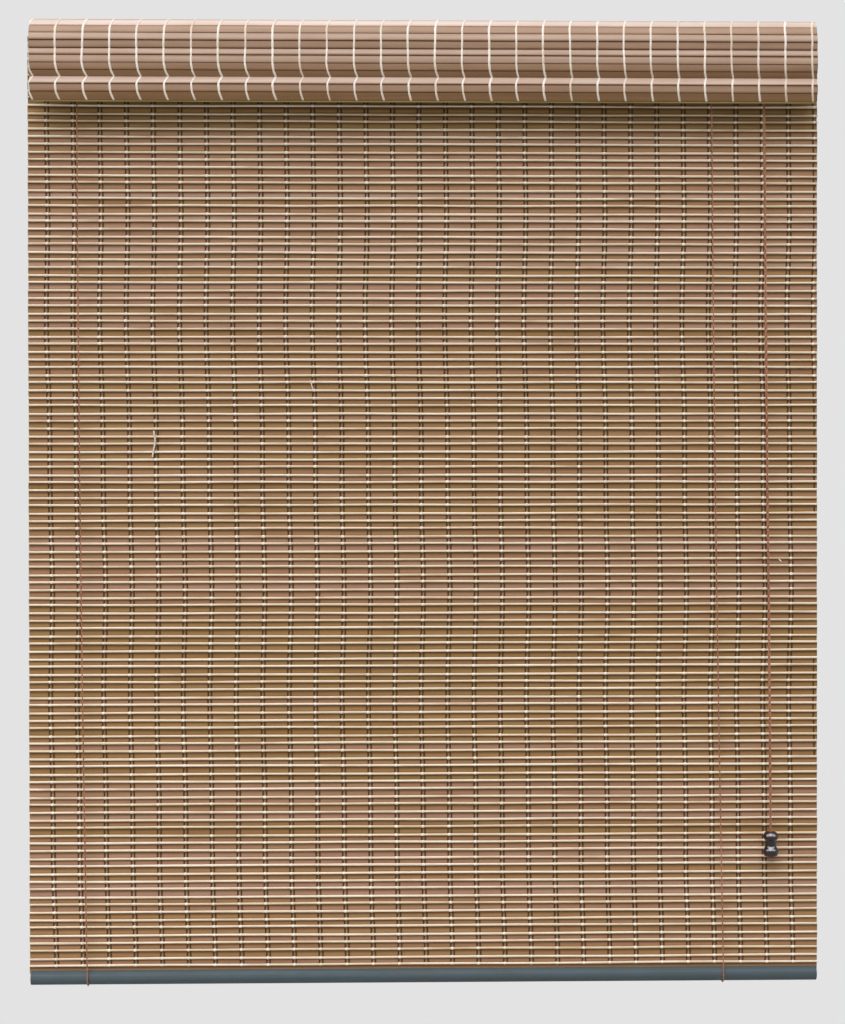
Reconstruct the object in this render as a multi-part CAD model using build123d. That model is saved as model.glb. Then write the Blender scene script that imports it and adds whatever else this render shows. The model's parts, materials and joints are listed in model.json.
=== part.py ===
"""Reed roll up blind: woven mat, slatted valance, bottom bar and cord lift gear.

Millimetres. X runs along the blind, +Y goes into the wall and Z is up.
The origin is the centre of the four wall screw holes, on the wall plane.
"""

import math
import os

from build123d import *

# Overall sizes
MAT_WIDTH = 900.0
VALANCE_END_INSET = 7.5
BLIND_DROP = 1092.0
CUT_OVERRUN = 5.0
TURNED_SIDES = 20

# Reed mat
SLAT_WIDTH = 8.73
SLAT_THICKNESS = 1.3
SLAT_SWING_SHARE = 0.12
SLAT_SWING_STEP = 2.4
REED_DIAMETER = 2.4
REED_SINK = 0.3
REED_FLAT_SHARE = 0.5
JOINT_GROOVE = 0.5
MAT_INSERT = 4.0
MAT_CLEARANCE = 0.3

# Headrail timber
BATTEN_DEPTH = 38.0
RAIL_HEIGHT = 25.0
FRONT_RAIL_DEPTH = 21.0
RAIL_END_INSET = 2.5
RAIL_TONGUE = 7.0

# Valance
VALANCE_SLAT = 9.1
TOP_SLATS = 5
TOP_FRONT_Y = -66.0
FLANGE_MARGIN = 11.0
SHELL_THICKNESS = 1.8
SLAT_TILTS = [36, 24, 11, -10, 13, 2.5, -14.5, -38, 36, -8, -32]
SLAT_WIDTH_SHARES = [1.01, 1.06, 0.95, 0.965, 0.88, 0.95, 0.87, 0.93, 1.27, 0.91, 1.11]
EDGE_REED_DIAMETER = 2.0
SEAT_GAP = 0.05
STRING_COUNT = 30
STRING_WIDTH = 2.4
STRING_THICKNESS = 0.8
STRING_LEFT_INSET = 1.9
STRING_RIGHT_INSET = 4.98

# Wall brackets
BRACKET_SPACING = 560.0
BRACKET_WIDTH = 30.0
BRACKET_THICKNESS = 2.0
BRACKET_REACH = 30.0
BRACKET_LEG = 40.0
BRACKET_CORNER = 5.0
WALL_HOLE_RADIUS = 2.25
UPPER_HOLE_DROP = 12.0
LOWER_HOLE_DROP = 30.0

# Bottom bar
BAR_END_INSET = 2.0
BAR_DIAMETER = 16.2
BAR_WALL = 1.5
BAR_SLOT_DEPTH = 5.0
BAR_SLOT_CLEARANCE = 0.35
BAR_LIP = 1.3
PLUG_FLANGE = 2.0
PLUG_SPIGOT = 8.0
PLUG_CLEARANCE = 0.15
PLUG_SIDES = 12

# Cords
CORD_DIAMETER = 1.8
CORD_SIDES = 6
CORD_GAP = 0.3
CORD_PLANE_Y = -58.0
PAIR_DIAMETER = 3.2
LAYER_GAP = 0.1
LEFT_CORD_INSET = 50.8
LEFT_CORD_LEAN = 8.3
RIGHT_CORD_INSET = 117.1
RIGHT_CORD_LEAN = 15.3
PULL_INSET = 57.6
PULL_LEAN = 8.0
KNOT_DIAMETER = 4.4
KNOT_HEIGHT = 3.4
KNOT_CHAMFER = 0.8

# Cord tabs
TAB_WIDTH = 8.0
TAB_THICKNESS = 1.2
TAB_DROP = 6.0
TAB_SETBACK = 0.5
TAB_WEB_REACH = 2.6
TAB_LIP = 4.5

# Pulleys and cord lock
GROOVE_RADIUS = 3.4
GROOVE_SEAT = 1.6
RIM_RADIUS = 5.4
WHEEL_WIDTH = 5.0
WHEEL_SIDE_GAP = 0.5
AXLE_RADIUS = 1.25
AXLE_FIT = 0.03
AXLE_PLAY = 0.1
AXLE_END = 0.6
FRAME_SHEET = 1.0
FRAME_FLANGE = 8.0
FRAME_FRONT_RISE = 4.0
FRAME_FOOT_GAP = 1.0
FRAME_HALF_WIDTH = 3.75
CAM_RADIUS = 5.0
CAM_THROW = 1.2
CAM_WIDTH = 4.0
CAM_TEETH = 18
CAM_TOOTH = 0.5
CAM_REST_GAP = 1.15
CAM_DROP = 3.0
CAM_LEG_REST = 3.0

# Tassel
TASSEL_RADIUS = 8.5
TASSEL_HEIGHT = 28.8
TASSEL_TOP_DEPTH = 917.6
TASSEL_BORE_GAP = 0.3
TASSEL_POCKET_RADIUS = 4.0
TASSEL_POCKET_DEPTH = 6.0
TASSEL_RADIUS_SHARES = [0.52, 0.86, 1.0, 0.96, 0.76, 0.7, 0.72, 0.97, 1.0, 0.97, 0.78]
TASSEL_HEIGHT_SHARES = [0.0, 0.04, 0.12, 0.2, 0.28, 0.34, 0.55, 0.65, 0.71, 0.87, 1.0]
TASSEL_KNOT_DIAMETER = 6.4

# Places along the blind
VALANCE_WIDTH = MAT_WIDTH - 2 * VALANCE_END_INSET
FIRST_STRING_X = STRING_LEFT_INSET - VALANCE_WIDTH / 2
STRING_PITCH = (VALANCE_WIDTH - STRING_LEFT_INSET - STRING_RIGHT_INSET) / (STRING_COUNT - 1)
LEFT_CORD_TOP_X = LEFT_CORD_INSET - VALANCE_WIDTH / 2
LEFT_CORD_FOOT_X = LEFT_CORD_TOP_X + LEFT_CORD_LEAN
RIGHT_CORD_TOP_X = VALANCE_WIDTH / 2 - RIGHT_CORD_INSET
RIGHT_CORD_FOOT_X = RIGHT_CORD_TOP_X + RIGHT_CORD_LEAN
PULL_TOP_X = VALANCE_WIDTH / 2 - PULL_INSET
PULL_FOOT_X = PULL_TOP_X + PULL_LEAN

# Levels, measured down from the valance's top
SHELL_TOP = STRING_THICKNESS + SLAT_THICKNESS
RAIL_TOP = SHELL_TOP + SHELL_THICKNESS
RAIL_FOOT = RAIL_TOP + RAIL_HEIGHT
TOP_Z = RAIL_FOOT + (UPPER_HOLE_DROP + LOWER_HOLE_DROP) / 2
RAIL_FOOT_Z = TOP_Z - RAIL_FOOT

# Mat planes
SLAT_BACK_Y = -BATTEN_DEPTH - MAT_CLEARANCE
SLAT_FRONT_Y = SLAT_BACK_Y - SLAT_THICKNESS
REED_FRONT_Y = SLAT_FRONT_Y + REED_SINK - REED_DIAMETER
FRONT_RAIL_BACK_Y = REED_FRONT_Y - MAT_CLEARANCE
RAIL_LENGTH = VALANCE_WIDTH - 2 * RAIL_END_INSET

# Bar and cord bights
BAR_LENGTH = MAT_WIDTH - 2 * BAR_END_INSET
BAR_RADIUS = BAR_DIAMETER / 2
BAR_Y = (SLAT_BACK_Y + SLAT_FRONT_Y) / 2
BAR_Z = TOP_Z - BLIND_DROP + BAR_RADIUS
BAR_SLOT_WIDTH = SLAT_THICKNESS + 2 * BAR_SLOT_CLEARANCE
CORD_RADIUS = CORD_DIAMETER / 2
BIGHT_RADIUS = BAR_RADIUS + CORD_GAP + CORD_RADIUS
CORD_BACK_Y = BAR_Y + BIGHT_RADIUS
CORD_FRONT_Y = BAR_Y - BIGHT_RADIUS
TAB_TOP_Z = RAIL_FOOT_Z - TAB_DROP

# Wheels: the left cord rides one layer above the right one
TURN_RADIUS = GROOVE_RADIUS + GROOVE_SEAT
LAYER_STEP = CORD_DIAMETER + LAYER_GAP
OUTER_TURN_RADIUS = TURN_RADIUS + LAYER_STEP
WHEEL_Z = RAIL_FOOT_Z - OUTER_TURN_RADIUS - CORD_DIAMETER
LEFT_WHEEL_X = LEFT_CORD_TOP_X + TURN_RADIUS
LEFT_WHEEL_Z = WHEEL_Z + LAYER_STEP
RIGHT_WHEEL_X = RIGHT_CORD_TOP_X + TURN_RADIUS
LOCK_X = PULL_TOP_X - TURN_RADIUS - LAYER_STEP / 2
FRAME_GAP = WHEEL_WIDTH / 2 + WHEEL_SIDE_GAP
FRAME_HALF_DEPTH = FRAME_GAP + FRAME_SHEET
CAM_X = LOCK_X + OUTER_TURN_RADIUS + CORD_RADIUS + CAM_REST_GAP + CAM_RADIUS
CAM_Z = WHEEL_Z - CAM_DROP
TASSEL_TOP_Z = TOP_Z - TASSEL_TOP_DEPTH
PULL_FOOT_Z = TASSEL_TOP_Z - TASSEL_HEIGHT + TASSEL_POCKET_DEPTH - TASSEL_BORE_GAP


def bar_along_x(points, length, centre_x=0.0):
    """A solid with the given (y, z) outline, centred on centre_x."""
    outline = make_face(Polyline(*points, close=True))
    return Pos(centre_x, 0, 0) * extrude(Plane.YZ * outline, length / 2, both=True)


def rod_along_y(radius, length):
    """A rod on the Y axis, centred on the origin."""
    return extrude(Plane.XZ * Circle(radius), length / 2, both=True)


def cord_section(diameter):
    """The many-sided section of a cord, lying flat."""
    return RegularPolygon(diameter / 2, CORD_SIDES)


def turned(radii, heights):
    """A turned form about Z, many-sided, with the given radius at each height."""
    turns = [2 * math.pi * i / TURNED_SIDES for i in range(TURNED_SIDES)]
    rings = []
    for radius, z in zip(radii, heights):
        rings.append([(radius * math.cos(turn), radius * math.sin(turn), z) for turn in turns])
    walls = [make_face(Polyline(*ring, close=True)) for ring in (rings[0], rings[-1])]
    for upper, lower in zip(rings, rings[1:]):
        for i in range(TURNED_SIDES):
            corners = (upper[i - 1], upper[i], lower[i], lower[i - 1])
            walls.append(make_face(Polyline(*corners, close=True)))
    return Solid(Shell(walls))


def straight_cord(foot, head, diameter):
    """A cord run with level ends, which may lean."""
    run = Vector(*head) - Vector(*foot)
    return extrude(Pos(*foot) * cord_section(diameter), run.length, dir=run)


def knot(diameter, height):
    """A stop knot standing on the origin."""
    body = extrude(cord_section(diameter), height)
    rims = body.faces().sort_by(Axis.Z)[0].edges() + body.faces().sort_by(Axis.Z)[-1].edges()
    return chamfer(rims, KNOT_CHAMFER)


def along(tilt):
    """The (y, z) direction down a slat that faces the room, tilted up by tilt degrees."""
    angle = math.radians(tilt)
    return -math.sin(angle), -math.cos(angle)


def outward(tilt):
    """The (y, z) direction that such a slat faces."""
    angle = math.radians(tilt)
    return -math.cos(angle), math.sin(angle)


def valance_line(top_stretches):
    """The shell's outer line: its points in (y, z), and the tilt of each stretch."""
    tilts = [90] * len(top_stretches) + SLAT_TILTS
    lengths = top_stretches + [VALANCE_SLAT * share for share in SLAT_WIDTH_SHARES]
    points = [(TOP_FRONT_Y + sum(top_stretches), TOP_Z - SHELL_TOP)]
    for tilt, length in zip(tilts, lengths):
        y, z = points[-1]
        step_y, step_z = along(tilt)
        points.append((y + length * step_y, z + length * step_z))
    return points, tilts


def offset_line(points, tilts, distance):
    """The line moved outward by distance, with mitred corners."""
    facing = [outward(tilt) for tilt in tilts]
    moved = []
    for point, before, after in zip(points, facing[:1] + facing, facing + facing[-1:]):
        reach = distance / (1 + before[0] * after[0] + before[1] * after[1])
        moved.append((point[0] + reach * (before[0] + after[0]), point[1] + reach * (before[1] + after[1])))
    return moved


def valance_shell():
    """The bent sheet under the valance's slats."""
    points, tilts = valance_line([TOP_SLATS * VALANCE_SLAT + FLANGE_MARGIN])
    inside = offset_line(points, tilts, -SHELL_THICKNESS)
    return bar_along_x(points + inside[::-1], VALANCE_WIDTH)


def valance_slats():
    """The slats on the shell, one wall with a groove at each joint."""
    points, tilts = valance_line([VALANCE_SLAT] * TOP_SLATS)
    faces = offset_line(points, tilts, SLAT_THICKNESS)
    floors = offset_line(points, tilts, SLAT_THICKNESS - JOINT_GROOVE)
    front = [faces[0]]
    for i in range(1, len(tilts)):
        y, z = faces[i]
        up_y, up_z = along(tilts[i - 1])
        down_y, down_z = along(tilts[i])
        front.append((y - JOINT_GROOVE * up_y, z - JOINT_GROOVE * up_z))
        front.append(floors[i])
        front.append((y + JOINT_GROOVE * down_y, z + JOINT_GROOVE * down_z))
    front.append(faces[-1])
    return bar_along_x(points + front[::-1], VALANCE_WIDTH)


def valance_strings():
    """The flat strings lashed over the valance's slats."""
    points, tilts = valance_line([TOP_SLATS * VALANCE_SLAT])
    inner = offset_line(points, tilts, SLAT_THICKNESS)
    outer = offset_line(points, tilts, SLAT_THICKNESS + STRING_THICKNESS)
    string = bar_along_x(inner + outer[::-1], STRING_WIDTH)
    places = [FIRST_STRING_X + STRING_PITCH * i for i in range(STRING_COUNT)]
    return Compound(children=[Pos(x, 0, 0) * string for x in places])


def valance_edge_reed():
    """The thin reed along the valance's lower edge."""
    points, tilts = valance_line([VALANCE_SLAT])
    y, z = points[-1]
    drop = EDGE_REED_DIAMETER / 2 + SEAT_GAP
    step_y, step_z = along(tilts[-1])
    reed = extrude(Plane.YZ * Circle(EDGE_REED_DIAMETER / 2), VALANCE_WIDTH / 2, both=True)
    return Pos(0, y + drop * step_y, z + drop * step_z) * reed


def rear_batten():
    """The timber against the wall."""
    back = [(0, RAIL_FOOT_Z), (0, RAIL_FOOT_Z + RAIL_HEIGHT)]
    front = [(-BATTEN_DEPTH, RAIL_FOOT_Z + RAIL_HEIGHT), (-BATTEN_DEPTH, RAIL_FOOT_Z)]
    return bar_along_x(back + front, RAIL_LENGTH)


def front_rail():
    """The rebated timber that clamps the mat against the batten."""
    front_y = FRONT_RAIL_BACK_Y - FRONT_RAIL_DEPTH
    top_z = RAIL_FOOT_Z + RAIL_HEIGHT
    tongue_z = top_z - RAIL_TONGUE
    outline = [
        (-BATTEN_DEPTH, top_z),
        (-BATTEN_DEPTH, tongue_z),
        (FRONT_RAIL_BACK_Y, tongue_z),
        (FRONT_RAIL_BACK_Y, RAIL_FOOT_Z),
        (front_y, RAIL_FOOT_Z),
        (front_y, top_z),
    ]
    return bar_along_x(outline, RAIL_LENGTH)


def slat_joints():
    """Heights of the mat's slat edges, from its foot in the bar up to the rebate."""
    joints = [BAR_Z + BAR_RADIUS - MAT_INSERT]
    roof = RAIL_FOOT_Z + RAIL_HEIGHT - RAIL_TONGUE - MAT_CLEARANCE
    widest = SLAT_WIDTH * (1 + SLAT_SWING_SHARE)
    while joints[-1] + widest < roof:
        swing = SLAT_SWING_SHARE * math.sin(SLAT_SWING_STEP * len(joints))
        joints.append(joints[-1] + SLAT_WIDTH * (1 + swing))
    return joints


def reed_mat():
    """The mat as one wall, with a reed ridge before each joint and a groove behind it."""
    joints = slat_joints()
    radius = REED_DIAMETER / 2
    flat = radius * REED_FLAT_SHARE
    front = [(SLAT_FRONT_Y, joints[0])]
    back = [(SLAT_BACK_Y, joints[0])]
    for z in joints[1:-1]:
        front.append((SLAT_FRONT_Y, z - radius))
        front.append((REED_FRONT_Y, z - flat))
        front.append((REED_FRONT_Y, z + flat))
        front.append((SLAT_FRONT_Y, z + radius))
        back.append((SLAT_BACK_Y, z - JOINT_GROOVE))
        back.append((SLAT_BACK_Y - JOINT_GROOVE, z))
        back.append((SLAT_BACK_Y, z + JOINT_GROOVE))
    front.append((SLAT_FRONT_Y, joints[-1]))
    back.append((SLAT_BACK_Y, joints[-1]))
    return bar_along_x(front + back[::-1], MAT_WIDTH)


def wall_bracket(side):
    """A steel angle: one leg on the wall, the other under the batten."""
    sheet = BRACKET_THICKNESS
    outline = Polyline(
        (0, 0),
        (0, -BRACKET_LEG),
        (-sheet, -BRACKET_LEG),
        (-sheet, -sheet),
        (-BRACKET_REACH, -sheet),
        (-BRACKET_REACH, 0),
        close=True,
    )
    angle = extrude(Plane.YZ * make_face(outline), BRACKET_WIDTH / 2, both=True)
    angle = chamfer(angle.edges().filter_by(Axis.Y).group_by(Axis.Z)[0], BRACKET_CORNER)
    angle = chamfer(angle.edges().filter_by(Axis.Z).group_by(Axis.Y)[0], BRACKET_CORNER)
    drill = rod_along_y(WALL_HOLE_RADIUS, 2 * (sheet + CUT_OVERRUN))
    for drop in (UPPER_HOLE_DROP, LOWER_HOLE_DROP):
        angle -= Pos(0, 0, -drop) * drill
    return Pos(side * BRACKET_SPACING / 2, 0, RAIL_FOOT_Z) * angle


def bar_channel(clearance):
    """The outline of the bar's slot walls, in the bar's own section."""
    height = BAR_SLOT_DEPTH + BAR_LIP + clearance
    width = BAR_SLOT_WIDTH + 2 * (BAR_LIP + clearance)
    return Pos(0, BAR_RADIUS - height / 2) * Rectangle(width, height)


def bar_slot():
    """The outline of the slot that the mat's foot stands in."""
    height = BAR_SLOT_DEPTH + CUT_OVERRUN
    return Pos(0, BAR_RADIUS - BAR_SLOT_DEPTH + height / 2) * Rectangle(BAR_SLOT_WIDTH, height)


def bottom_bar():
    """The slotted tube that the mat's foot is held in."""
    section = Circle(BAR_RADIUS) - Circle(BAR_RADIUS - BAR_WALL)
    section += bar_channel(0) & Circle(BAR_RADIUS)
    section -= bar_slot()
    tube = extrude(Plane.YZ * section, BAR_LENGTH / 2 - PLUG_FLANGE, both=True)
    return Pos(0, BAR_Y, BAR_Z) * tube


def bar_end_plugs():
    """The two caps in the bar's ends."""
    flange = extrude(Plane.YZ * (Circle(BAR_RADIUS) - bar_slot()), PLUG_FLANGE)
    spigot = RegularPolygon(BAR_RADIUS - BAR_WALL - PLUG_CLEARANCE, PLUG_SIDES)
    spigot -= bar_channel(PLUG_CLEARANCE)
    plug = flange + extrude(Plane.YZ * spigot, -PLUG_SPIGOT)
    right = Pos(BAR_LENGTH / 2 - PLUG_FLANGE, BAR_Y, BAR_Z) * plug
    return Compound(children=[right, mirror(right, Plane.YZ)])


def front_run(top_x, top_z, foot_x):
    """A lift cord's run before the mat, from its wheel to the bar."""
    return straight_cord((foot_x, CORD_FRONT_Y, BAR_Z), (top_x, CORD_PLANE_Y, top_z), CORD_DIAMETER)


def back_run(top_x, foot_x):
    """A lift cord's run behind the mat, with the stop knot on its tab."""
    run = straight_cord((foot_x, CORD_BACK_Y, BAR_Z), (top_x, CORD_BACK_Y, TAB_TOP_Z), CORD_DIAMETER)
    return run + Pos(top_x, CORD_BACK_Y, TAB_TOP_Z) * knot(KNOT_DIAMETER, KNOT_HEIGHT)


def cord_bights():
    """The turns of both lift cords under the bar."""
    bights = []
    for x in (LEFT_CORD_FOOT_X, RIGHT_CORD_FOOT_X):
        section = Pos(x, CORD_FRONT_Y, BAR_Z) * cord_section(CORD_DIAMETER)
        bights.append(revolve(section, Axis((x, BAR_Y, BAR_Z), (1, 0, 0)), 180))
    return Compound(children=bights)


def lead_cord(wheel_x, wheel_z, exit_radius):
    """A lift cord inside the valance: over its wheel, along, and over the lock wheel."""
    section = cord_section(CORD_DIAMETER)
    rise = Pos(wheel_x - TURN_RADIUS, CORD_PLANE_Y, wheel_z) * section
    level = Plane((wheel_x, CORD_PLANE_Y, wheel_z + TURN_RADIUS), (0, 1, 0), (1, 0, 0)) * section
    fall = Plane((LOCK_X, CORD_PLANE_Y, WHEEL_Z + exit_radius), (0, 1, 0), (1, 0, 0)) * section
    cord = revolve(rise, Axis((wheel_x, CORD_PLANE_Y, wheel_z), (0, 1, 0)), 90)
    cord += extrude(level, LOCK_X - wheel_x)
    return cord + revolve(fall, Axis((LOCK_X, CORD_PLANE_Y, WHEEL_Z), (0, 1, 0)), 90)


def cord_tab(x):
    """The stepped steel tab under the batten's front edge that a back run is knotted through."""
    web_y = CORD_BACK_Y - TAB_WEB_REACH
    front_y = TAB_SETBACK - BATTEN_DEPTH
    lip_z = TAB_TOP_Z - TAB_THICKNESS
    outline = [
        (front_y, RAIL_FOOT_Z),
        (web_y, RAIL_FOOT_Z),
        (web_y, TAB_TOP_Z),
        (CORD_BACK_Y + TAB_LIP, TAB_TOP_Z),
        (CORD_BACK_Y + TAB_LIP, lip_z),
        (web_y - TAB_THICKNESS, lip_z),
        (web_y - TAB_THICKNESS, RAIL_FOOT_Z - TAB_THICKNESS),
        (front_y, RAIL_FOOT_Z - TAB_THICKNESS),
    ]
    tab = bar_along_x(outline, TAB_WIDTH, x)
    drill = Cylinder(CORD_RADIUS + CORD_GAP, 2 * (TAB_THICKNESS + CUT_OVERRUN / 2))
    return tab - Pos(x, CORD_BACK_Y, TAB_TOP_Z) * drill


def frame_sheet(wheel_z, left, right):
    """The bent sheet that carries a wheel, reaching left and right of the wheel's axle."""
    foot_z = wheel_z - RIM_RADIUS - FRAME_FOOT_GAP
    back_y = CORD_PLANE_Y + FRAME_GAP
    front_y = CORD_PLANE_Y - FRAME_GAP
    outline = [
        (back_y, RAIL_FOOT_Z),
        (back_y, foot_z),
        (front_y, foot_z),
        (front_y, wheel_z + FRAME_FRONT_RISE),
        (front_y - FRAME_SHEET, wheel_z + FRAME_FRONT_RISE),
        (front_y - FRAME_SHEET, foot_z - FRAME_SHEET),
        (back_y + FRAME_SHEET, foot_z - FRAME_SHEET),
        (back_y + FRAME_SHEET, RAIL_FOOT_Z - FRAME_SHEET),
        (back_y + FRAME_SHEET + FRAME_FLANGE, RAIL_FOOT_Z - FRAME_SHEET),
        (back_y + FRAME_SHEET + FRAME_FLANGE, RAIL_FOOT_Z),
    ]
    return bar_along_x(outline, left + right, (right - left) / 2)


def pin_hole():
    """The tool that cuts a pin's two holes in a frame."""
    return rod_along_y(AXLE_RADIUS + AXLE_FIT, 2 * (FRAME_HALF_DEPTH + FRAME_SHEET))


def pulley_frame(x, z):
    """A pulley's bent frame."""
    frame = Pos(x, 0, 0) * frame_sheet(z, FRAME_HALF_WIDTH, FRAME_HALF_WIDTH)
    return frame - Pos(x, CORD_PLANE_Y, z) * pin_hole()


def lock_frame():
    """The cord lock's longer frame, open below the cords and the cam."""
    reach = CAM_X + CAM_LEG_REST - LOCK_X
    frame = Pos(LOCK_X, 0, 0) * frame_sheet(WHEEL_Z, FRAME_HALF_WIDTH, reach)
    foot_z = WHEEL_Z - RIM_RADIUS - FRAME_FOOT_GAP - FRAME_SHEET
    window = Box(reach, 2 * FRAME_GAP, 2 * FRAME_SHEET)
    frame -= Pos(LOCK_X + FRAME_HALF_WIDTH + reach / 2, CORD_PLANE_Y, foot_z) * window
    for x, z in ((LOCK_X, WHEEL_Z), (CAM_X, CAM_Z)):
        frame -= Pos(x, CORD_PLANE_Y, z) * pin_hole()
    return frame


def wheel(x, z):
    """A grooved wheel on an axle along Y."""
    half = WHEEL_WIDTH / 2
    tread = Rot(X=90) * turned((RIM_RADIUS, GROOVE_RADIUS, RIM_RADIUS), (-half, 0, half))
    return Pos(x, CORD_PLANE_Y, z) * (tread - rod_along_y(AXLE_RADIUS + AXLE_PLAY, 2 * WHEEL_WIDTH))


def axle(x, z):
    """A plain pin through a frame's two legs."""
    return Pos(x, CORD_PLANE_Y, z) * rod_along_y(AXLE_RADIUS, 2 * (FRAME_HALF_DEPTH + AXLE_END))


def lock_cam():
    """The toothed eccentric that grips the cords, hanging from its pin."""
    rim = []
    for i in range(2 * CAM_TEETH):
        angle = math.pi * i / CAM_TEETH
        radius = CAM_RADIUS - CAM_TOOTH * (i % 2)
        rim.append((radius * math.cos(angle), radius * math.sin(angle) - CAM_THROW))
    face = make_face(Polyline(*rim, close=True)) - Circle(AXLE_RADIUS + AXLE_PLAY)
    return Pos(CAM_X, CORD_PLANE_Y, CAM_Z) * extrude(Plane.XZ * face, CAM_WIDTH / 2, both=True)


def pull_cord():
    """Both lift cords as one, from the lock down to the tassel's knot."""
    foot = (PULL_FOOT_X, CORD_PLANE_Y, PULL_FOOT_Z)
    return straight_cord(foot, (PULL_TOP_X, CORD_PLANE_Y, WHEEL_Z), PAIR_DIAMETER)


def pull_tassel():
    """The turned pull, bored for the cord and hollowed below for its knot."""
    radii = [TASSEL_RADIUS * share for share in TASSEL_RADIUS_SHARES]
    heights = [-TASSEL_HEIGHT * share for share in TASSEL_HEIGHT_SHARES]
    body = turned(radii, heights)
    body -= Cylinder(PAIR_DIAMETER / 2 + TASSEL_BORE_GAP, 2 * (TASSEL_HEIGHT + CUT_OVERRUN))
    body -= Pos(0, 0, -TASSEL_HEIGHT) * Cylinder(TASSEL_POCKET_RADIUS, 2 * TASSEL_POCKET_DEPTH)
    return Pos(PULL_FOOT_X, CORD_PLANE_Y, TASSEL_TOP_Z) * body


def tassel_knot():
    """The knot that the tassel hangs on."""
    stop = knot(TASSEL_KNOT_DIAMETER, KNOT_HEIGHT)
    return Pos(PULL_FOOT_X, CORD_PLANE_Y, PULL_FOOT_Z - KNOT_HEIGHT) * stop


PARTS = {
    "rear_batten": rear_batten(),
    "front_rail": front_rail(),
    "wall_bracket_left": wall_bracket(-1),
    "wall_bracket_right": wall_bracket(1),
    "valance_shell": valance_shell(),
    "valance_slats": valance_slats(),
    "valance_strings": valance_strings(),
    "valance_edge_reed": valance_edge_reed(),
    "reed_mat": reed_mat(),
    "bottom_bar": bottom_bar(),
    "bar_end_plugs": bar_end_plugs(),
    "lift_cord_left_front": front_run(LEFT_CORD_TOP_X, LEFT_WHEEL_Z, LEFT_CORD_FOOT_X),
    "lift_cord_left_back": back_run(LEFT_CORD_TOP_X, LEFT_CORD_FOOT_X),
    "lift_cord_right_front": front_run(RIGHT_CORD_TOP_X, WHEEL_Z, RIGHT_CORD_FOOT_X),
    "lift_cord_right_back": back_run(RIGHT_CORD_TOP_X, RIGHT_CORD_FOOT_X),
    "cord_bights": cord_bights(),
    "lead_cord_left": lead_cord(LEFT_WHEEL_X, LEFT_WHEEL_Z, OUTER_TURN_RADIUS),
    "lead_cord_right": lead_cord(RIGHT_WHEEL_X, WHEEL_Z, TURN_RADIUS),
    "cord_tab_left": cord_tab(LEFT_CORD_TOP_X),
    "cord_tab_right": cord_tab(RIGHT_CORD_TOP_X),
    "pulley_frame_left": pulley_frame(LEFT_WHEEL_X, LEFT_WHEEL_Z),
    "pulley_frame_right": pulley_frame(RIGHT_WHEEL_X, WHEEL_Z),
    "pulley_wheel_left": wheel(LEFT_WHEEL_X, LEFT_WHEEL_Z),
    "pulley_wheel_right": wheel(RIGHT_WHEEL_X, WHEEL_Z),
    "pulley_axle_left": axle(LEFT_WHEEL_X, LEFT_WHEEL_Z),
    "pulley_axle_right": axle(RIGHT_WHEEL_X, WHEEL_Z),
    "lock_frame": lock_frame(),
    "lock_wheel": wheel(LOCK_X, WHEEL_Z),
    "lock_axle": axle(LOCK_X, WHEEL_Z),
    "lock_cam": lock_cam(),
    "lock_cam_pin": axle(CAM_X, CAM_Z),
    "pull_cord": pull_cord(),
    "pull_tassel": pull_tassel(),
    "tassel_knot": tassel_knot(),
}

os.makedirs("parts", exist_ok=True)
for name, shape in PARTS.items():
    export_step(shape, f"parts/{name}.step")
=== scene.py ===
"""The looks of the reed roll up blind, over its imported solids.

Lengths are written in millimetres and turned into metres where a mesh is made.
X runs along the blind, +Y goes into the wall and Z is up.
"""

import json
import math
import random

import bmesh
import bpy
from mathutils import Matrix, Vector


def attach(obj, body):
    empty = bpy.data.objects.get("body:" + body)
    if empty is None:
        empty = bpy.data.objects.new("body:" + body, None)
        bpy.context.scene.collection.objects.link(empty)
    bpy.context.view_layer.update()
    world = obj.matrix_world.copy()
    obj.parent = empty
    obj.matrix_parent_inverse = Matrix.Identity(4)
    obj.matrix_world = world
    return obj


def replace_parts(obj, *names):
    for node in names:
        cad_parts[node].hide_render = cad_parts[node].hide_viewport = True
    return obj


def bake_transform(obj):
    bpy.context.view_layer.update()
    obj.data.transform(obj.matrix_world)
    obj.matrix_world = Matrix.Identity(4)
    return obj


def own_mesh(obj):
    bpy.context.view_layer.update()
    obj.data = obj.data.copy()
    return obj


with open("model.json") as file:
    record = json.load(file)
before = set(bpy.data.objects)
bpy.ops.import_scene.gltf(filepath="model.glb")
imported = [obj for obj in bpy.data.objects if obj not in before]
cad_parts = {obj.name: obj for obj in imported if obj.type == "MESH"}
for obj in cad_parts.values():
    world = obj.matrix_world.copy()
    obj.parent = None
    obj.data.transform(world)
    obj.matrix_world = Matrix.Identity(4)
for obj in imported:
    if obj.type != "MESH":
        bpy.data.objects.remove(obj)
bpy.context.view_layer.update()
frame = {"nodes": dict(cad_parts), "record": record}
chance = random.Random(41)
MM = 0.001
FULL_TURN = 2 * math.pi

# Levels and planes, as in the part's source
TOP_Z = 49.9
RAIL_FOOT_Z = 21.0
MAT_HEAD_REACH = 17.7
MAT_FOOT_Z = -1029.9
MAT_HALF = 450.0
SLAT_BACK_Y = -38.3
SLAT_FRONT_Y = -39.6
REED_Y = -40.5
REED_RADIUS = 1.2
VALANCE_HALF = 442.5
BAR_Y = -38.95
BAR_Z = -1034.0
BIGHT_RADIUS = 9.3
CORD_PLANE_Y = -58.0
CORD_FRONT_Y = -48.25
CORD_BACK_Y = -29.65
TAB_TOP_Z = 15.0
WHEEL_Z = 12.3
LEFT_WHEEL_Z = 14.2


def linear(red, green, blue):
    """A display colour from 0 to 255, as the shaders want it."""
    shares = []
    for value in (red, green, blue):
        share = value / 255
        shares.append(share / 12.92 if share <= 0.04045 else ((share + 0.055) / 1.055) ** 2.4)
    return (*shares, 1.0)


# Materials

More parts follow.
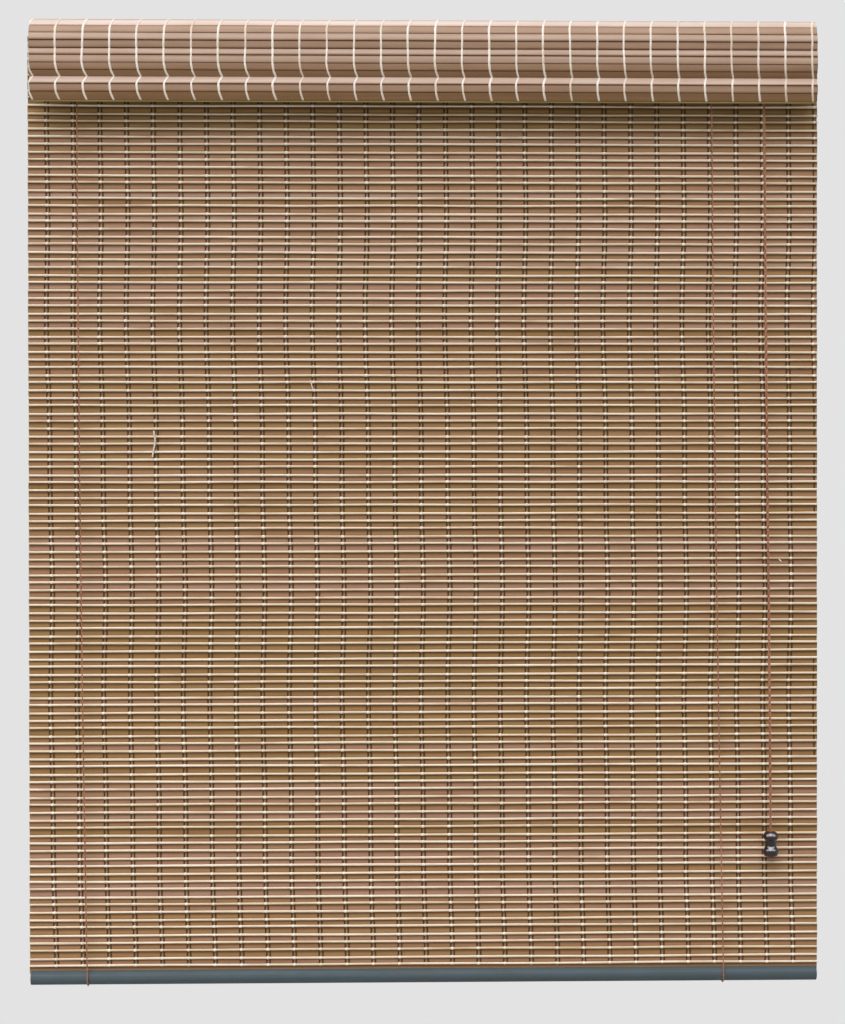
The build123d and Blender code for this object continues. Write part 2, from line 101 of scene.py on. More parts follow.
WHITE = linear(255, 255, 255)


class Finish:
    """A material under construction."""

    def __init__(self, name, roughness, **sockets):
        self.material = bpy.data.materials.new(name)
        self.material.use_nodes = True
        self.tree = self.material.node_tree
        self.shader = self.tree.nodes["Principled BSDF"]
        self.shader.inputs["Roughness"].default_value = roughness
        for socket, value in sockets.items():
            self.shader.inputs[socket.replace("_", " ")].default_value = value

    def node(self, kind, **values):
        """A new node with its settings and the values of its inputs."""
        made = self.tree.nodes.new(kind)
        for key, value in values.items():
            if key in made.bl_rna.properties:
                setattr(made, key, value)
            else:
                made.inputs[key.replace("_", " ")].default_value = value
        return made

    def link(self, source, target):
        self.tree.links.new(source, target)

    def place(self, stretch):
        """Object coordinates in metres, multiplied by stretch."""
        where = self.node("ShaderNodeTexCoord")
        mapped = self.node("ShaderNodeMapping")
        mapped.inputs["Scale"].default_value = stretch
        self.link(where.outputs["Object"], mapped.inputs["Vector"])
        return mapped.outputs["Vector"]

    def noise(self, stretch, detail=3.0, rough=0.55, seed=None):
        """Soft noise; a seed gives each form a pattern of its own."""
        made = self.node("ShaderNodeTexNoise", Scale=1.0, Detail=detail, Roughness=rough)
        self.link(self.place(stretch), made.inputs["Vector"])
        if seed is not None:
            made.noise_dimensions = "4D"
            self.link(seed, made.inputs["W"])
        return made.outputs["Fac"]

    def ramp(self, factor, stops):
        """Colours by the factor."""
        made = self.node("ShaderNodeValToRGB")
        points = made.color_ramp.elements
        while len(points) < len(stops):
            points.new(0.5)
        for point, (place, colour) in zip(points, stops):
            point.position = place
            point.color = colour
        self.link(factor, made.inputs["Fac"])
        return made.outputs["Color"]

    def grey(self, factor, low, high, start=0.3, end=0.7):
        """The factor spread out between two plain levels."""
        made = self.node("ShaderNodeMapRange", clamp=True)
        made.inputs["From Min"].default_value = start
        made.inputs["From Max"].default_value = end
        made.inputs["To Min"].default_value = low
        made.inputs["To Max"].default_value = high
        self.link(factor, made.inputs["Value"])
        return made.outputs["Result"]

    def mix(self, first, second, kind, share):
        """A node that mixes two colours."""
        made = self.node("ShaderNodeMix", data_type="RGBA", blend_type=kind)
        made.inputs["Factor"].default_value = share
        self.link(first, made.inputs["A"])
        self.link(second, made.inputs["B"])
        return made

    def times(self, first, second, share=1.0):
        """The first colour, multiplied by a share of the second."""
        return self.mix(first, second, "MULTIPLY", share).outputs["Result"]

    def mixed(self, first, second, factor):
        """From the first colour to the second, by the factor."""
        made = self.mix(first, second, "MIX", 1.0)
        self.link(factor, made.inputs["Factor"])
        return made.outputs["Result"]

    def given(self, name):
        """A number that the mesh holds for each of its points."""
        return self.node("ShaderNodeAttribute", attribute_name=name).outputs["Fac"]

    def scaled(self, value, by):
        made = self.node("ShaderNodeMath", operation="MULTIPLY")
        self.link(value, made.inputs[0])
        made.inputs[1].default_value = by
        return made.outputs[0]

    def colour(self, output):
        self.link(output, self.shader.inputs["Base Color"])

    def rough(self, output):
        self.link(output, self.shader.inputs["Roughness"])

    def bump(self, height, depth, strength):
        made = self.node("ShaderNodeBump", Strength=strength, Distance=depth)
        self.link(height, made.inputs["Height"])
        self.link(made.outputs["Normal"], self.shader.inputs["Normal"])


def bamboo(name, stops, patch, marks):
    """Split bamboo: long grain, soft stains, edges darkened by painted shade, and a tone of its own for
    each slat.
    """
    finish = Finish(name, 0.42, Specular_IOR_Level=0.15)
    tone = finish.given("tone")
    seed = finish.scaled(tone, 60.0)
    base = finish.ramp(tone, stops)
    grain = finish.noise((9.0, 260.0, 1100.0), 4.0, 0.6, seed)
    streak = finish.noise((2.6, 90.0, 330.0), 3.0, 0.6, seed)
    stain = finish.noise((14.0, 40.0, 40.0), 2.0, 0.5, seed)
    shade = finish.ramp(grain, [(0.3, linear(198, 190, 182)), (0.68, WHITE)])
    stripe = finish.ramp(streak, [(0.34, linear(205, 190, 175)), (0.62, WHITE)])
    cloud = finish.ramp(stain, [(0.36, patch), (0.6, WHITE)])
    # Painted shade: the mesh's per-point shade numbers darken the slat heads under the reeds and the
    # valance slats' edges at open joints.
    darkening = finish.ramp(finish.given("grime"), [(0.0, WHITE), (1.0, linear(176, 160, 142))])
    grained = finish.times(base, shade, marks)
    striped = finish.times(grained, stripe, marks)
    stained = finish.times(striped, cloud, 0.6 * marks)
    finish.colour(finish.times(stained, darkening))
    finish.rough(finish.grey(grain, 0.5, 0.36))
    finish.bump(grain, 0.0002, 0.5)
    return finish.material


def reed_skin(name, stops):
    """Peeled reed: pale straw with fine lengthwise fibres and browner knuckles."""
    finish = Finish(name, 0.45, Specular_IOR_Level=0.15)
    tone = finish.given("tone")
    seed = finish.scaled(tone, 80.0)
    base = finish.ramp(tone, stops)
    fibre = finish.noise((16.0, 900.0, 900.0), 3.0, 0.6, seed)
    knuckle = finish.noise((11.0, 6.0, 6.0), 2.0, 0.5, seed)
    shade = finish.ramp(fibre, [(0.3, linear(214, 202, 188)), (0.62, WHITE)])
    brown = finish.ramp(knuckle, [(0.34, linear(196, 165, 130)), (0.45, WHITE)])
    finish.colour(finish.times(finish.times(base, shade, 0.8), brown, 0.35))
    finish.bump(fibre, 0.0001, 0.5)
    return finish.material


def cotton(name, pale, deep):
    """Soft thread: fuzzy, with fine twist and a little dirt."""
    finish = Finish(name, 0.85, Sheen_Weight=0.25, Sheen_Roughness=0.5, Specular_IOR_Level=0.2)
    fuzz = finish.noise((3200.0, 3200.0, 2240.0), 2.0, 0.6)
    dirt = finish.noise((35.0, 35.0, 18.0), 3.0, 0.6)
    base = finish.ramp(fuzz, [(0.3, deep), (0.62, pale)])
    darkening = finish.ramp(dirt, [(0.36, linear(222, 208, 190)), (0.55, WHITE)])
    finish.colour(finish.times(base, darkening, 0.7))
    finish.bump(fuzz, 0.00015, 0.6)
    return finish.material


def slate_bar():
    """Satin slate paint with faint drawing lines, dust and rubbed spots."""
    finish = Finish("slate_bar", 0.6, Specular_IOR_Level=0.2)
    drawn = finish.noise((3.0, 900.0, 900.0), 3.0, 0.6)
    dust = finish.noise((22.0, 60.0, 60.0), 4.0, 0.65)
    fleck = finish.noise((260.0, 600.0, 600.0), 2.0, 0.5)
    base = finish.ramp(drawn, [(0.3, linear(62, 74, 82)), (0.7, linear(76, 88, 98))])
    warm = finish.ramp(dust, [(0.4, WHITE), (0.72, linear(255, 246, 232))])
    paint = finish.times(base, warm, 0.8)
    rubbed = finish.grey(fleck, 0.0, 0.35, 0.7, 0.78)
    worn = finish.ramp(dust, [(0.0, linear(92, 102, 106)), (1.0, linear(106, 113, 115))])
    finish.colour(finish.mixed(paint, worn, rubbed))
    finish.rough(finish.grey(dust, 0.52, 0.7))
    finish.bump(drawn, 0.0001, 0.25)
    return finish.material


def red_cord():
    """Twisted synthetic cord, red brown with paler filaments."""
    finish = Finish("red_cord", 0.6, Sheen_Weight=0.15, Specular_IOR_Level=0.35)
    fuzz = finish.noise((2400.0, 2400.0, 900.0), 3.0, 0.6)
    drift = finish.noise((8.0, 8.0, 12.0), 2.0, 0.5)
    browns = [(0.28, linear(118, 70, 50)), (0.5, linear(160, 104, 80)), (0.72, linear(192, 142, 116))]
    base = finish.ramp(fuzz, browns)
    worn = finish.ramp(drift, [(0.35, linear(220, 205, 196)), (0.6, WHITE)])
    finish.colour(finish.times(base, worn, 0.7))
    finish.bump(fuzz, 0.0002, 0.6)
    return finish.material


def lacquer():
    """Dark glossy lacquer with a hint of plum and fine scuffs."""
    finish = Finish("lacquer", 0.2, Specular_IOR_Level=0.25, Coat_Weight=0.4, Coat_Roughness=0.12)
    cloud = finish.noise((120.0, 120.0, 120.0), 3.0, 0.5)
    scuff = finish.noise((900.0, 900.0, 1500.0), 4.0, 0.7)
    finish.colour(finish.ramp(cloud, [(0.35, linear(22, 10, 15)), (0.65, linear(38, 23, 29))]))
    finish.rough(finish.grey(scuff, 0.16, 0.3, 0.5, 0.75))
    finish.bump(scuff, 0.00004, 0.15)
    return finish.material


def planed_timber():
    """Planed softwood with long grain."""
    finish = Finish("planed_timber", 0.62, Specular_IOR_Level=0.3)
    rings = finish.noise((1.4, 55.0, 55.0), 3.0, 0.5)
    fibre = finish.noise((12.0, 700.0, 700.0), 3.0, 0.6)
    straws = [(0.3, linear(176, 136, 92)), (0.5, linear(206, 170, 124)), (0.7, linear(188, 147, 100))]
    base = finish.ramp(rings, straws)
    shade = finish.ramp(fibre, [(0.3, linear(214, 200, 182)), (0.6, WHITE)])
    finish.colour(finish.times(base, shade, 0.8))
    finish.bump(fibre, 0.0002, 0.4)
    return finish.material


def zinc():
    """Zinc plate: pale grey metal with soft spangle and dull patches."""
    finish = Finish("zinc", 0.38, Metallic=1.0)
    spangle = finish.node("ShaderNodeTexVoronoi", Scale=1.0)
    finish.link(finish.place((260.0, 260.0, 260.0)), spangle.inputs["Vector"])
    haze = finish.noise((70.0, 70.0, 70.0), 3.0, 0.6)
    base = finish.ramp(haze, [(0.35, linear(150, 152, 156)), (0.65, linear(196, 198, 200))])
    facet = finish.ramp(spangle.outputs["Color"], [(0.0, linear(214, 216, 220)), (1.0, WHITE)])
    finish.colour(finish.times(base, facet, 0.6))
    finish.rough(finish.grey(haze, 0.3, 0.52))
    return finish.material


def brown_board():
    """The valance's sheet: matt brown fibre with a fine tooth."""
    finish = Finish("brown_board", 0.8, Specular_IOR_Level=0.25)
    tooth = finish.noise((700.0, 700.0, 700.0), 3.0, 0.6)
    drift = finish.noise((9.0, 30.0, 30.0), 3.0, 0.5)
    base = finish.ramp(drift, [(0.35, linear(92, 70, 51)), (0.65, linear(108, 83, 61))])
    shade = finish.ramp(tooth, [(0.3, linear(205, 200, 195)), (0.62, WHITE)])
    finish.colour(finish.times(base, shade, 0.8))
    finish.bump(tooth, 0.0001, 0.5)
    return finish.material


def acetal():
    """White moulded wheels, a little yellowed."""
    finish = Finish("acetal", 0.35, Subsurface_Weight=0.05)
    age = finish.noise((180.0, 180.0, 180.0), 3.0, 0.5)
    finish.colour(finish.ramp(age, [(0.35, linear(222, 216, 202)), (0.65, linear(236, 233, 224))]))
    finish.rough(finish.grey(age, 0.3, 0.45))
    return finish.material


MAT_STOPS = [
    (0.0, linear(152, 121, 79)),
    (0.3, linear(166, 133, 93)),
    (0.55, linear(169, 133, 104)),
    (0.8, linear(180, 145, 126)),
    (1.0, linear(190, 158, 142)),
]
# Valance tones run from dark olive to near white; the ends serve the painted shade and painted highlight
# given in the slats' tones below.
VALANCE_STOPS = [
    (0.0, linear(134, 101, 65)),
    (0.35, linear(162, 130, 110)),
    (0.65, linear(188, 161, 147)),
    (1.0, linear(224, 206, 201)),
]
REED_STOPS = [
    (0.0, linear(215, 194, 170)),
    (0.5, linear(228, 210, 193)),
    (1.0, linear(236, 222, 210)),
]
EDGE_REED_STOPS = [
    (0.0, linear(158, 141, 98)),
    (1.0, linear(176, 158, 114)),
]
SLAT = bamboo("bamboo_slat", MAT_STOPS, linear(205, 176, 150), 0.36)
VALANCE_SLAT = bamboo("bamboo_valance", VALANCE_STOPS, linear(214, 190, 170), 0.32)
REED = reed_skin("reed", REED_STOPS)
EDGE_REED = reed_skin("edge_reed", EDGE_REED_STOPS)
WHITE_THREAD = cotton("white_thread", linear(240, 231, 230), linear(219, 206, 199))
MAT_THREAD = cotton("mat_thread", linear(238, 230, 223), linear(215, 203, 191))
DARK_THREAD = cotton("dark_thread", linear(84, 58, 33), linear(54, 37, 18))
CORD = red_cord()
TASSEL = lacquer()
ZINC = zinc()

NODE_MATERIALS = {
    "timber": planed_timber(),
    "zinc_steel": ZINC,
    "shell": brown_board(),
    "slat": SLAT,
    "reed": REED,
    "string": WHITE_THREAD,
    "bar": slate_bar(),
    "cord": CORD,
    "wheel": acetal(),
    "tassel": TASSEL,
}
for part in frame["record"]["subparts"]:
    for slot in frame["nodes"][part["node"]].material_slots:
        slot.material = NODE_MATERIALS[part["material_slot"]]


# Mesh helpers


def placed(name, data):
    """A new object in the scene."""
    made = bpy.data.objects.new(name, data)
    bpy.context.scene.collection.objects.link(made)
    return made


def around(count, shift=0.0):
    """The cosine and sine of even steps round a circle."""
    turns = [FULL_TURN * (k + shift) / count for k in range(count)]
    return [(math.cos(turn), math.sin(turn)) for turn in turns]


def stations(left, right, count):
    """Even places from left to right."""
    return [left + (right - left) * s / (count - 1) for s in range(count)]


class Pile:
    """Many small swept forms in one mesh."""

    def __init__(self):
        self.points = []
        self.faces = []
        self.tones = []
        self.painted_shades = []

    def sweep(self, rings, tone=0.5, closed=False, grime=None):
        """Skins rings of equal counts, with flat ends, or round to the first ring if closed.

        The whole form has one tone, and a list of painted shade gives, for each point of a ring, how much
        that point is darkened.
        """
        start = len(self.points)
        count = len(rings[0])
        for ring in rings:
            self.points.extend(ring)
        self.tones.extend([tone] * (count * len(rings)))
        self.painted_shades.extend((grime or [0.0] * count) * len(rings))
        steps = len(rings) if closed else len(rings) - 1
        for i in range(steps):
            here = start + i * count
            there = start + (i + 1) % len(rings) * count
            for k in range(count):
                after = (k + 1) % count
                self.faces.append((here + k, here + after, there + after, there + k))
        if not closed:
            last = start + (len(rings) - 1) * count
            self.faces.append(tuple(range(start + count - 1, start - 1, -1)))
            self.faces.append(tuple(range(last, last + count)))

    def piece(self, name, material, slot, sharp=50):
        """Makes the mesh, in metres, and its object."""
        mesh = bpy.data.meshes.new(name)
        mesh.from_pydata([(x * MM, y * MM, z * MM) for x, y, z in self.points], [], self.faces)
        shaped = bmesh.new()
        shaped.from_mesh(mesh)
        bmesh.ops.recalc_face_normals(shaped, faces=shaped.faces)
        shaped.to_mesh(mesh)
        shaped.free()
        for attribute, values in (("tone", self.tones), ("grime", self.painted_shades)):
            held = mesh.attributes.new(attribute, "FLOAT", "POINT")
            held.data.foreach_set("value", values)
        mesh.polygons.foreach_set("use_smooth", [True] * len(mesh.polygons))
        mesh.set_sharp_from_angle(angle=math.radians(sharp))
        mesh.materials.append(material)
        made = placed(name, mesh)
        return made


def lifted(piece):
    """A soft piece, held to the headrail, with a mesh of its own."""
    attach(piece, "headrail")
    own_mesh(piece)
    return piece


def waves(seed, reach):
    """A slow wander along the blind, at most reach, the same for the same seed."""
    source = random.Random(seed)
    parts = []
    for _ in range(3):
        parts.append((source.uniform(0.2, 1.0), source.uniform(0.004, 0.03), source.uniform(0, 6.28)))
    total = sum(part[0] for part in parts)
    return lambda x: reach / total * sum(size * math.sin(rate * x + turn) for size, rate, turn in parts)


def chance_share(middle, spread):
    """A chance number near the middle, from 0 to 1."""
    return min(1.0, max(0.0, chance.gauss(middle, spread)))


# The woven mat

SLAT_PITCH = 8.73
WEAVE_CLEARANCE = 2.0
SLAT_SWING_SHARE = 0.12
SLAT_SWING_STEP = 2.4
SLAT_STATIONS = 24
SLAT_SEED = 200
SLAT_BOW = 0.6
SLAT_EDGE_GAP = 0.15
FOOT_SLAT_LIFT = 0.1
HEAD_WANDER_SHIFT = 300
SLAT_END_WEAR = 0.7
SLAT_WANDER = 0.12
SLAT_FRONT_SHARES = (0.0, 0.2, 0.45, 0.62, 0.8, 1.0)
SLAT_BACK_SHARES = (1.0, 0.5, 0.0)
# Painted shade on each mat slat, by the points of its section: the head, under the reed above, is darkened
# where the reed's shadow falls.
SLAT_HEAD_SHADE = [0.0, 0.0, 0.15, 0.7, 1.0, 1.0, 1.0, 0.0, 0.0]
TONE_MIDDLE = 0.5
SLAT_TONE_SPREAD = 0.16
NARROW_BAND = 0.1
NARROW_BAND_Z = -205.0
NARROW_BAND_LENGTH = 60.0
BROAD_BAND = 0.14
BROAD_BAND_Z = -150.0
BROAD_BAND_LENGTH = 143.0
BROAD_BAND_END = 4.6
# Slats that start above this height are given the dark shaded tone, painted shade just under the valance.
SHADED_Z = -46.0
SHADED_TONE = 0.05
REED_TONE_SPREAD = 0.25
REED_STATIONS = 50
REED_SIDES = 8
REED_WANDER_SEED = 700
REED_SWELL_SEED = 1400
REED_END_WEAR = 0.9
REED_WANDER = 0.35
REED_SWELL = 0.12
REED_SKIN = 0.1


def slat_joints():
    """Heights of the mat's slat edges, as in the part's source."""
    joints = [MAT_FOOT_Z]
    widest = SLAT_PITCH * (1 + SLAT_SWING_SHARE)
    while joints[-1] + widest < RAIL_FOOT_Z + MAT_HEAD_REACH:
        swing = SLAT_SWING_SHARE * math.sin(SLAT_SWING_STEP * len(joints))
        joints.append(joints[-1] + SLAT_PITCH * (1 + swing))
    return joints


JOINTS = slat_joints()
REED_JOINTS = JOINTS[1:-1]
WOVEN_JOINTS = [z for z in REED_JOINTS if z < RAIL_FOOT_Z - WEAVE_CLEARANCE]
WOVEN_SLATS = list(zip(WOVEN_JOINTS, WOVEN_JOINTS[1:]))


def slat_bow(share):
    """How far the slat's face lies back, at a share of its width."""
    return SLAT_BOW * (2 * share - 1) ** 2


def slat_tone(low):
    """A chance tone that drifts in slow bands down the mat; near the valance it is set dark, painted shade
    under the valance.
    """
    narrow = (low - NARROW_BAND_Z) / NARROW_BAND_LENGTH
    broad = min(BROAD_BAND_END, (BROAD_BAND_Z - low) / BROAD_BAND_LENGTH)
    band = NARROW_BAND * math.cos(narrow) + BROAD_BAND * math.cos(broad)
    tone = chance_share(TONE_MIDDLE + band, SLAT_TONE_SPREAD)
    return SHADED_TONE if low > SHADED_Z else tone


def reed_drift(i):
    """How a reed wanders up and down along the blind."""
    return waves(REED_WANDER_SEED + i, REED_WANDER)


def mat_slats():
    """Each slat a bowed strip with uneven ends."""
    pile = Pile()
    for i, (low, high) in enumerate(zip(JOINTS, JOINTS[1:])):
        tone = slat_tone(low)
        left = -MAT_HALF + chance.uniform(0, SLAT_END_WEAR)
        right = MAT_HALF - chance.uniform(0, SLAT_END_WEAR)
        drift = waves(SLAT_SEED + i, SLAT_WANDER)
        rings = []
        for x in stations(left, right, SLAT_STATIONS):
            foot = low + SLAT_EDGE_GAP + (drift(x) if i else FOOT_SLAT_LIFT)
            head = high - SLAT_EDGE_GAP + drift(x + HEAD_WANDER_SHIFT)
            ring = []
            for share in SLAT_FRONT_SHARES:
                ring.append((x, SLAT_FRONT_Y + slat_bow(share), foot + (head - foot) * share))
            for share in SLAT_BACK_SHARES:
                ring.append((x, SLAT_BACK_Y, foot + (head - foot) * share))
            rings.append(ring)
        pile.sweep(rings, tone, grime=SLAT_HEAD_SHADE)
    return lifted(pile.piece("mat_slats", SLAT, "slat"))


def mat_reeds():
    """A slim round reed before each joint, thickening and wandering a little."""
    pile = Pile()
    for i, z in enumerate(REED_JOINTS):
        tone = chance_share(TONE_MIDDLE, REED_TONE_SPREAD)
        left = -MAT_HALF + chance.uniform(0, REED_END_WEAR)
        right = MAT_HALF - chance.uniform(0, REED_END_WEAR)
        drift = reed_drift(i)
        swell = waves(REED_SWELL_SEED + i, REED_SWELL)
        rings = []
        for x in stations(left, right, REED_STATIONS):
            radius = REED_RADIUS + REED_SKIN + swell(x)
            level = z + drift(x)
            steps = around(REED_SIDES, 0.5)
            rings.append([(x, REED_Y + radius * c, level + radius * s) for c, s in steps])
        pile.sweep(rings, tone)
    return lifted(pile.piece("mat_reeds", REED, "reed"))


# The mat's lashing threads

COLUMNS = 30
COLUMN_LEFT_X = -430.2
COLUMN_PITCH = 30.2
COLUMN_DROP = 1050.0
COLUMN_LEAN = 8.5
COLUMN_LEAN_LOSS = 4.5
COLUMN_WAVES = ((1.3, 14.0, 0.4), (0.8, 31.0, 2.0))
COLUMN_LIMIT_X = MAT_HALF - 3.5
THREAD_SINK = 0.1
THREAD_CROWN_SHARE = 0.55
REED_THREAD_STRAY = 0.3
REED_THREAD_WIDTH = 3.3
REED_THREAD_WIDTH_SHARES = (0.85, 1.12)
REED_THREAD_SQUEEZE_SHARE = 0.2
REED_THREAD_THICKNESS = 0.3
REED_THREAD_RADIUS = REED_RADIUS + 0.18
REED_THREAD_ANGLES = (-122, -66, -22, 22, 66, 122)
DARK_THREAD_WIDTH = 2.0
DARK_THREAD_THICKNESS = 0.4
DARK_THREAD_SHIFT = 0.6
DARK_THREAD_STRAY = 0.25
DARK_THREAD_LEAN = 0.35
DARK_THREAD_SPREAD = 1.95
DARK_THREAD_SHARES = (0.06, 0.5, 0.94)
BACK_THREAD_STRAY = 0.3
BACK_THREAD_WIDTH = 2.6
BACK_THREAD_THICKNESS = 0.6
BACK_THREAD_DIPS = ((0.0, -0.5), (0.14, 0.0), (0.5, 0.0), (0.86, 0.0), (1.0, -0.5))
THREAD_LIFT = 0.02


def column_x(k, z):
    """Where a lashing column crosses the height z: they lean and wander together."""
    down = (RAIL_FOOT_Z - z) / COLUMN_DROP
    lean = (COLUMN_LEAN - COLUMN_LEAN_LOSS * k / (COLUMNS - 1)) * down
    wander = sum(size * math.sin(rate * down + shift) for size, rate, shift in COLUMN_WAVES)
    return COLUMN_LEFT_X + COLUMN_PITCH * k + lean + wander


def strip_ring(x, width, thick, base, out):
    """The five-sided section of a flat thread on a base point, crowned outwards, both in (y, z)."""
    half = width / 2
    crown = half * THREAD_CROWN_SHARE
    section = ((-half, 0.0), (-crown, thick), (crown, thick), (half, 0.0), (0.0, -THREAD_SINK))
    return [(x + across, base[0] + rise * out[0], base[1] + rise * out[1]) for across, rise in section]


def reed_lashings(name, columns):
    """The white string where it comes over each reed."""
    pile = Pile()
    for k in columns:
        for i, z in enumerate(WOVEN_JOINTS):
            x = column_x(k, z) + chance.uniform(-REED_THREAD_STRAY, REED_THREAD_STRAY)
            if x > COLUMN_LIMIT_X:
                continue
            width = REED_THREAD_WIDTH * chance.uniform(*REED_THREAD_WIDTH_SHARES)
            level = z + reed_drift(i)(x)
            rings = []
            for angle in REED_THREAD_ANGLES:
                turn = math.radians(angle)
                out = (-math.cos(turn), math.sin(turn))
                base = (REED_Y + REED_THREAD_RADIUS * out[0], level + REED_THREAD_RADIUS * out[1])
                squeeze = 1 - REED_THREAD_SQUEEZE_SHARE + REED_THREAD_SQUEEZE_SHARE * math.cos(turn)
                rings.append(strip_ring(x, width * squeeze, REED_THREAD_THICKNESS, base, out))
            pile.sweep(rings)
    return lifted(pile.piece(name, MAT_THREAD, "string", sharp=70))


def slat_lashings(name, columns):
    """The dark pair of threads over each slat."""
    pile = Pile()
    for k in columns:
        for low, high in WOVEN_SLATS:
            middle = column_x(k, (low + high) / 2) + DARK_THREAD_SHIFT
            for side in (-1, 1):
                stray = chance.uniform(-DARK_THREAD_STRAY, DARK_THREAD_STRAY)
                x = middle + side * DARK_THREAD_SPREAD + stray
                lean = chance.uniform(-DARK_THREAD_LEAN, DARK_THREAD_LEAN)
                if x > COLUMN_LIMIT_X:
                    continue
                rings = []
                for share in DARK_THREAD_SHARES:
                    base = (SLAT_FRONT_Y + slat_bow(share) - THREAD_LIFT, low + (high - low) * share)
                    place = x + lean * (share - 0.5)
                    rings.append(strip_ring(place, DARK_THREAD_WIDTH, DARK_THREAD_THICKNESS, base, (-1, 0)))
                pile.sweep(rings)
    return lifted(pile.piece(name, DARK_THREAD, "string", sharp=70))


def back_lashings(name, columns):
    """The white string where it lies behind each slat."""
    pile = Pile()
    for k in columns:
        for low, high in WOVEN_SLATS:
            stray = chance.uniform(-BACK_THREAD_STRAY, BACK_THREAD_STRAY)
            x = column_x(k, (low + high) / 2) + stray
            if x > COLUMN_LIMIT_X:
                continue
            rings = []
            for share, dip in BACK_THREAD_DIPS:
                base = (SLAT_BACK_Y + THREAD_LIFT + dip, low + (high - low) * share)
                rings.append(strip_ring(x, BACK_THREAD_WIDTH, BACK_THREAD_THICKNESS, base, (1, 0)))
            pile.sweep(rings)
    return lifted(pile.piece(name, MAT_THREAD, "string", sharp=70))


mat = mat_slats()
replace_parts(mat, "reed_mat")
mat_reeds()
for half, columns in (("left", range(0, COLUMNS // 2)), ("right", range(COLUMNS // 2, COLUMNS))):
    reed_lashings("reed_lashings_" + half, columns)
    slat_lashings("slat_lashings_" + half, columns)
    back_lashings("back_lashings_" + half, columns)


# Cords


def spline_points(route, step):
    """Points at even steps along the smooth NURBS line of a route, in millimetres."""
    curve = bpy.data.curves.new("route", "CURVE")
    curve.dimensions = "3D"
    line = curve.splines.new("NURBS")
    line.points.add(len(route) - 1)
    for point, place in zip(line.points, route):
        point.co = (*place, 1.0)
    line.order_u = 3
    line.use_endpoint_u = True
    line.resolution_u = 400
    holder = placed("route", curve)
    mesh = bpy.data.meshes.new_from_object(holder)
    found = [vertex.co.copy() for vertex in mesh.vertices]
    bpy.data.objects.remove(holder)
    bpy.data.curves.remove(curve)
    bpy.data.meshes.remove(mesh)
    total = sum((after - before).length for before, after in zip(found, found[1:]))
    count = round(total / step)
    even = [found[0]]
    walked = 0.0
    for before, after in zip(found, found[1:]):
        stretch = (after - before).length
        while len(even) < count and len(even) * total / count <= walked + stretch:
            even.append(before.lerp(after, (len(even) * total / count - walked) / stretch))
        walked += stretch
    return even + [found[-1]]


def twist(pile, path, strand_radius, offset, pitch, sides=6, side_axis=(0, 1, 0)):
    """Two strands that wind round a path."""
    length = 0.0
    strands = ([], [])
    for i, point in enumerate(path):
        if i:
            length += (point - path[i - 1]).length
        ahead = path[min(i + 1, len(path) - 1)] - path[max(i - 1, 0)]
        ahead.normalize()
        u = Vector(side_axis)
        u = (u - ahead * u.dot(ahead)).normalized()
        v = ahead.cross(u)
        for n, strand in enumerate(strands):
            turn = FULL_TURN * (length / pitch + n / len(strands))
            middle = point + (u * math.cos(turn) + v * math.sin(turn)) * offset
            strand.append([tuple(middle + (u * c + v * s) * strand_radius) for c, s in around(sides)])
    for strand in strands:
        pile.sweep(strand)


KNOT_POINTS = 48
KNOT_SIDES = 8
KNOT_LOOP_SHARE = 0.62
KNOT_LOBE_SHARE = 0.38
KNOT_RISE_SHARE = 0.7
KNOT_UPRIGHT = 0.2


def knot_rings(pile, centre, radius, cord_radius):
    """A small overhand knot: a cord wound over itself in a close lump."""
    wide = radius - cord_radius
    path = []
    for i in range(KNOT_POINTS):
        turn = FULL_TURN * i / KNOT_POINTS
        x = wide * (KNOT_LOOP_SHARE * math.sin(turn) + KNOT_LOBE_SHARE * math.sin(2 * turn))
        y = wide * (KNOT_LOOP_SHARE * math.cos(turn) - KNOT_LOBE_SHARE * math.cos(2 * turn))
        z = KNOT_RISE_SHARE * wide * math.sin(3 * turn)
        path.append(Vector(centre) + Vector((x, y, z)))
    rings = []
    for i, point in enumerate(path):
        ahead = (path[(i + 1) % KNOT_POINTS] - path[i - 1]).normalized()
        u = ahead.orthogonal().normalized()
        up = Vector((0, 0, 1))
        flat = up - ahead * up.dot(ahead)
        if flat.length > KNOT_UPRIGHT:
            u = flat.normalized()
        v = ahead.cross(u)
        rings.append([tuple(point + (u * c + v * s) * cord_radius) for c, s in around(KNOT_SIDES)])
    pile.sweep(rings, closed=True)


LIFT_TWIST = {"strand_radius": 0.47, "offset": 0.43, "pitch": 9.0}
LIFT_STEP = 0.9
BIGHT_STEP = 0.6
LIFT_KNOT_RISE = 1.6
LIFT_KNOT_RADIUS = 2.2
LIFT_KNOT_CORD = 0.75
CORD_SLACK = 4.0
LEFT_TOP_X = -391.7
LEFT_FOOT_X = -383.4
RIGHT_TOP_X = 325.4
RIGHT_FOOT_X = 340.7
LIFT_CORDS = (
    ("left", LEFT_TOP_X, LEFT_FOOT_X, LEFT_WHEEL_Z),
    ("right", RIGHT_TOP_X, RIGHT_FOOT_X, WHEEL_Z),
)


def lift_run(name, start, end, node, knotted=False):
    """A lift cord's run, twisted from two strands."""
    pile = Pile()
    middle = [(a + b) / 2 for a, b in zip(start, end)]
    middle[0] -= CORD_SLACK
    twist(pile, spline_points([start, tuple(middle), end], LIFT_STEP), **LIFT_TWIST)
    if knotted:
        centre = (start[0], start[1], start[2] + LIFT_KNOT_RISE)
        knot_rings(pile, centre, LIFT_KNOT_RADIUS, LIFT_KNOT_CORD)
    run = pile.piece(name, CORD, "cord", sharp=80)
    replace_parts(lifted(run), node)


